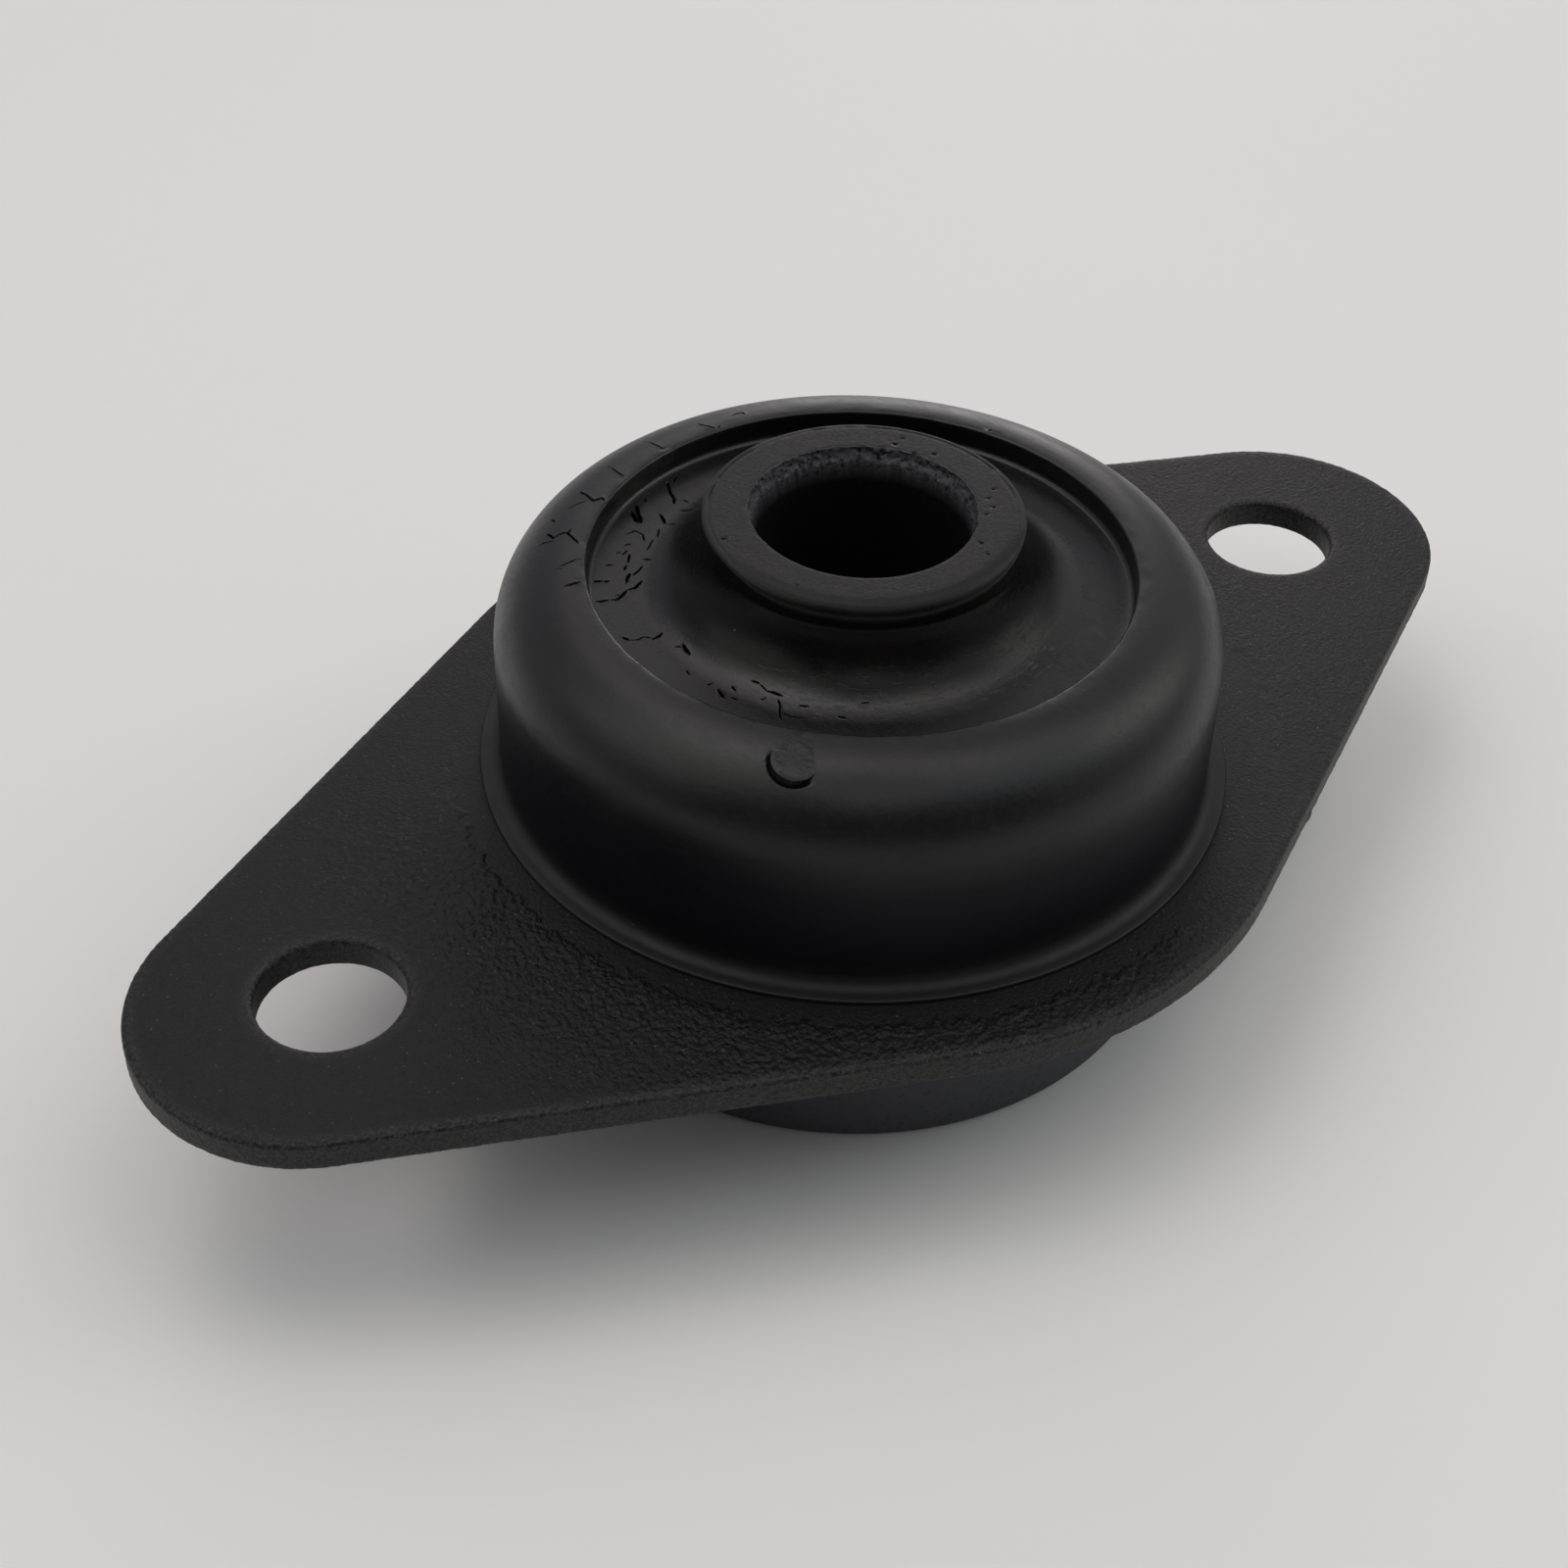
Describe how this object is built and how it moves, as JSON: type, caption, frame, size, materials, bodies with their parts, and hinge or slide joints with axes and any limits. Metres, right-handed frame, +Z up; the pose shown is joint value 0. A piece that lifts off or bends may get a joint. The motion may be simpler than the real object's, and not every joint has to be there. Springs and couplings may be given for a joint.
{
  "type": "engine mount",
  "caption": "Bonded rubber engine mount: a domed rubber body moulded through a flat diamond steel flange with bolt holes, round a steel sleeve with a through bore.",
  "frame": {"origin": "centre of the face that the mount stands on, on the axis of the sleeve's bore", "axes": "+X from one bolt hole to the other, +Y across the flange, +Z up along the bore, towards the dome and the boss"},
  "size_m": [0.1212, 0.0684, 0.0388],
  "materials": {
    "painted_flange": "black paint with a fine wrinkled texture over sheet steel",
    "moulded_rubber": "smooth satin black, with fine cracks round the recess",
    "painted_sleeve": "black satin paint over steel tube, rough at the bore's mouth"
  },
  "bodies": {
    "root": {"flange_plate": "painted_flange", "rubber_body": "moulded_rubber", "centre_sleeve": "painted_sleeve"}
  },
  "joints": []
}
